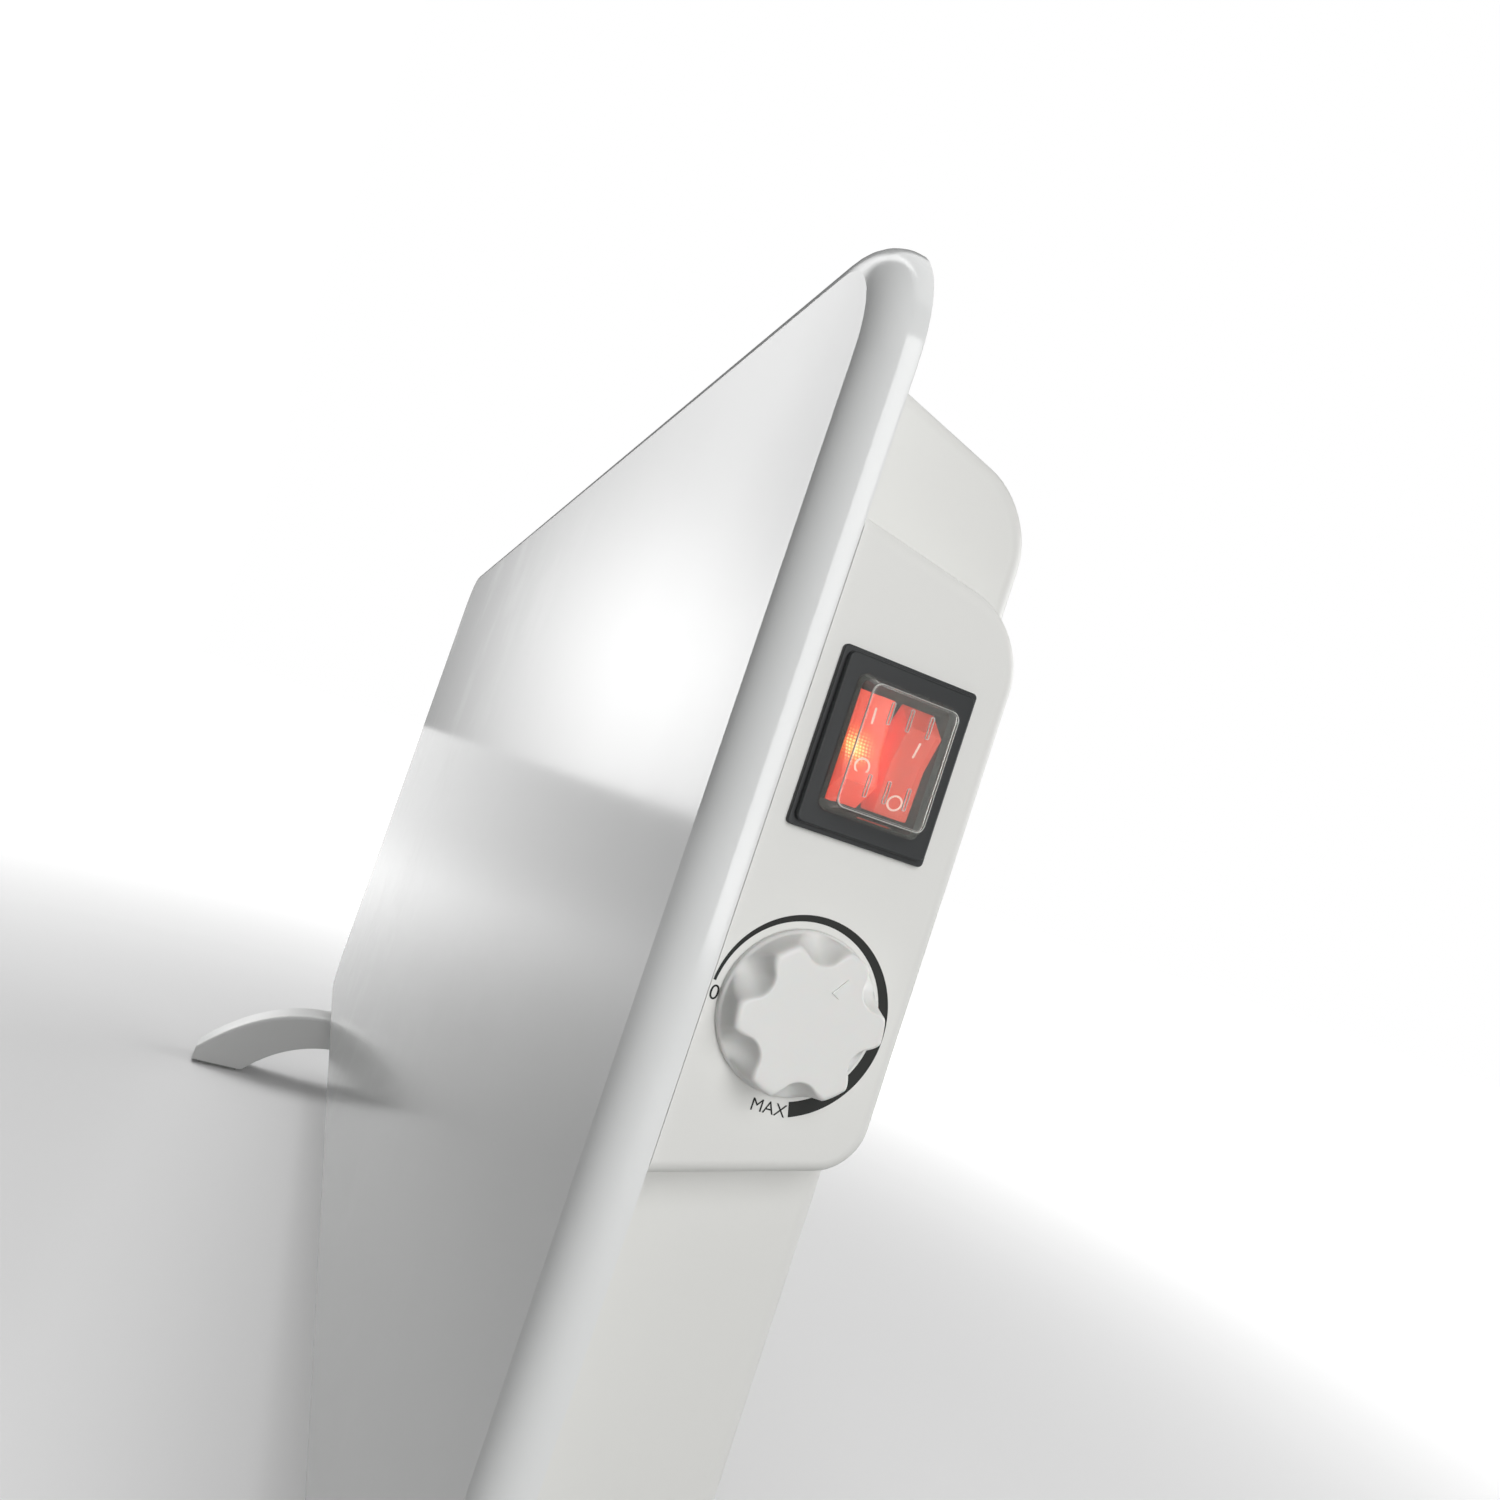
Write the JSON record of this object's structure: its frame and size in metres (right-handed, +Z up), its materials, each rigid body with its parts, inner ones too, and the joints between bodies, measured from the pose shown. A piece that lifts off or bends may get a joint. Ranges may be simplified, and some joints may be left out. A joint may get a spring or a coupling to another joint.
{
  "type": "oil filled radiator heater",
  "caption": "Slim free-standing oil filled heater with a rolled-edge front panel, end controls with a double rocker switch and a lobed thermostat knob, and arched feet.",
  "frame": {"origin": "on the floor, below the centre of the heater's bounding box", "axes": "+Z up, front panel facing -Y, controls on the +X end"},
  "size_m": [0.8846, 0.231, 0.466],
  "materials": {
    "panel_paint": "glossy off-white powder coat",
    "casing_paint": "satin warm light grey",
    "foot_paint": "satin warm light grey",
    "housing_plastic": "satin warm light grey",
    "knob_plastic": "satin warm light grey",
    "black_plastic": "fine matt charcoal",
    "clear_cover": "clear flexible cover",
    "rocker_red": "translucent red, polished",
    "lamp_glass": "clear, with an orange glow",
    "zinc_steel": "zinc plated",
    "core_steel": "dark stoved primer",
    "brass_metal": "plain turned",
    "pad_rubber": "matt",
    "wire_brown": "sleeved",
    "wire_blue": "sleeved"
  },
  "bodies": {
    "heater": {"casing_screw_1": "zinc_steel", "casing_screw_2": "zinc_steel", "casing_screw_3": "zinc_steel", "casing_screw_4": "zinc_steel", "control_housing": "housing_plastic", "cord_bush": "black_plastic", "core_bracket_left_high": "zinc_steel", "core_bracket_left_low": "zinc_steel", "core_bracket_right_high": "zinc_steel", "core_bracket_right_low": "zinc_steel", "core_shell_front": "core_steel", "core_shell_rear": "core_steel", "element_boss": "core_steel", "element_flange": "brass_metal", "element_pin_high": "brass_metal", "element_pin_low": "brass_metal", "filler_plug": "brass_metal", "foot_bolt_left": "zinc_steel", "foot_bolt_right": "zinc_steel", "foot_bracket_left": "casing_paint", "foot_bracket_right": "casing_paint", "foot_left": "foot_paint", "foot_pad_left_front": "pad_rubber", "foot_pad_left_rear": "pad_rubber", "foot_pad_right_front": "pad_rubber", "foot_pad_right_rear": "pad_rubber", "foot_right": "foot_paint", "front_panel": "panel_paint", "heat_shield": "zinc_steel", "heating_element": "zinc_steel", "housing_screw_1": "zinc_steel", "housing_screw_2": "zinc_steel", "neon_lamp_front": "lamp_glass", "neon_lamp_rear": "lamp_glass", "panel_post_1": "zinc_steel", "panel_post_2": "zinc_steel", "panel_post_3": "zinc_steel", "panel_post_4": "zinc_steel", "rear_casing": "casing_paint", "rocker_bezel": "black_plastic", "switch_body": "black_plastic", "switch_clear_cover": "clear_cover", "switch_tab_front_high": "brass_metal", "switch_tab_front_low": "brass_metal", "switch_tab_rear_high": "brass_metal", "switch_tab_rear_low": "brass_metal", "terminal_block": "black_plastic", "thermal_cutout": "black_plastic", "thermostat_body": "black_plastic", "thermostat_nut": "zinc_steel", "thermostat_tab_high": "brass_metal", "thermostat_tab_low": "brass_metal", "wire_supply_to_element": "wire_blue", "wire_supply_to_switch": "wire_brown", "wire_switch_to_thermostat": "wire_brown"},
    "rocker_front": {"rocker_front": "rocker_red"},
    "rocker_rear": {"rocker_rear": "rocker_red"},
    "knob": {"thermostat_knob": "knob_plastic", "thermostat_shaft": "brass_metal"}
  },
  "joints": [
    {"name": "front_rocker_rocks", "type": "hinge", "parent": "heater", "child": "rocker_front", "pos_m": [0.4323, 0.0035, 0.354], "axis": [0, 1, 0], "range_deg": [0, 20]},
    {"name": "rear_rocker_rocks", "type": "hinge", "parent": "heater", "child": "rocker_rear", "pos_m": [0.4323, 0.0035, 0.354], "axis": [0, 1, 0], "range_deg": [-20, 0]},
    {"name": "thermostat_turns", "type": "hinge", "parent": "heater", "child": "knob", "pos_m": [0.43275, 0.00295, 0.2994], "axis": [1, 0, 0], "range_deg": [-144, 106]}
  ]
}
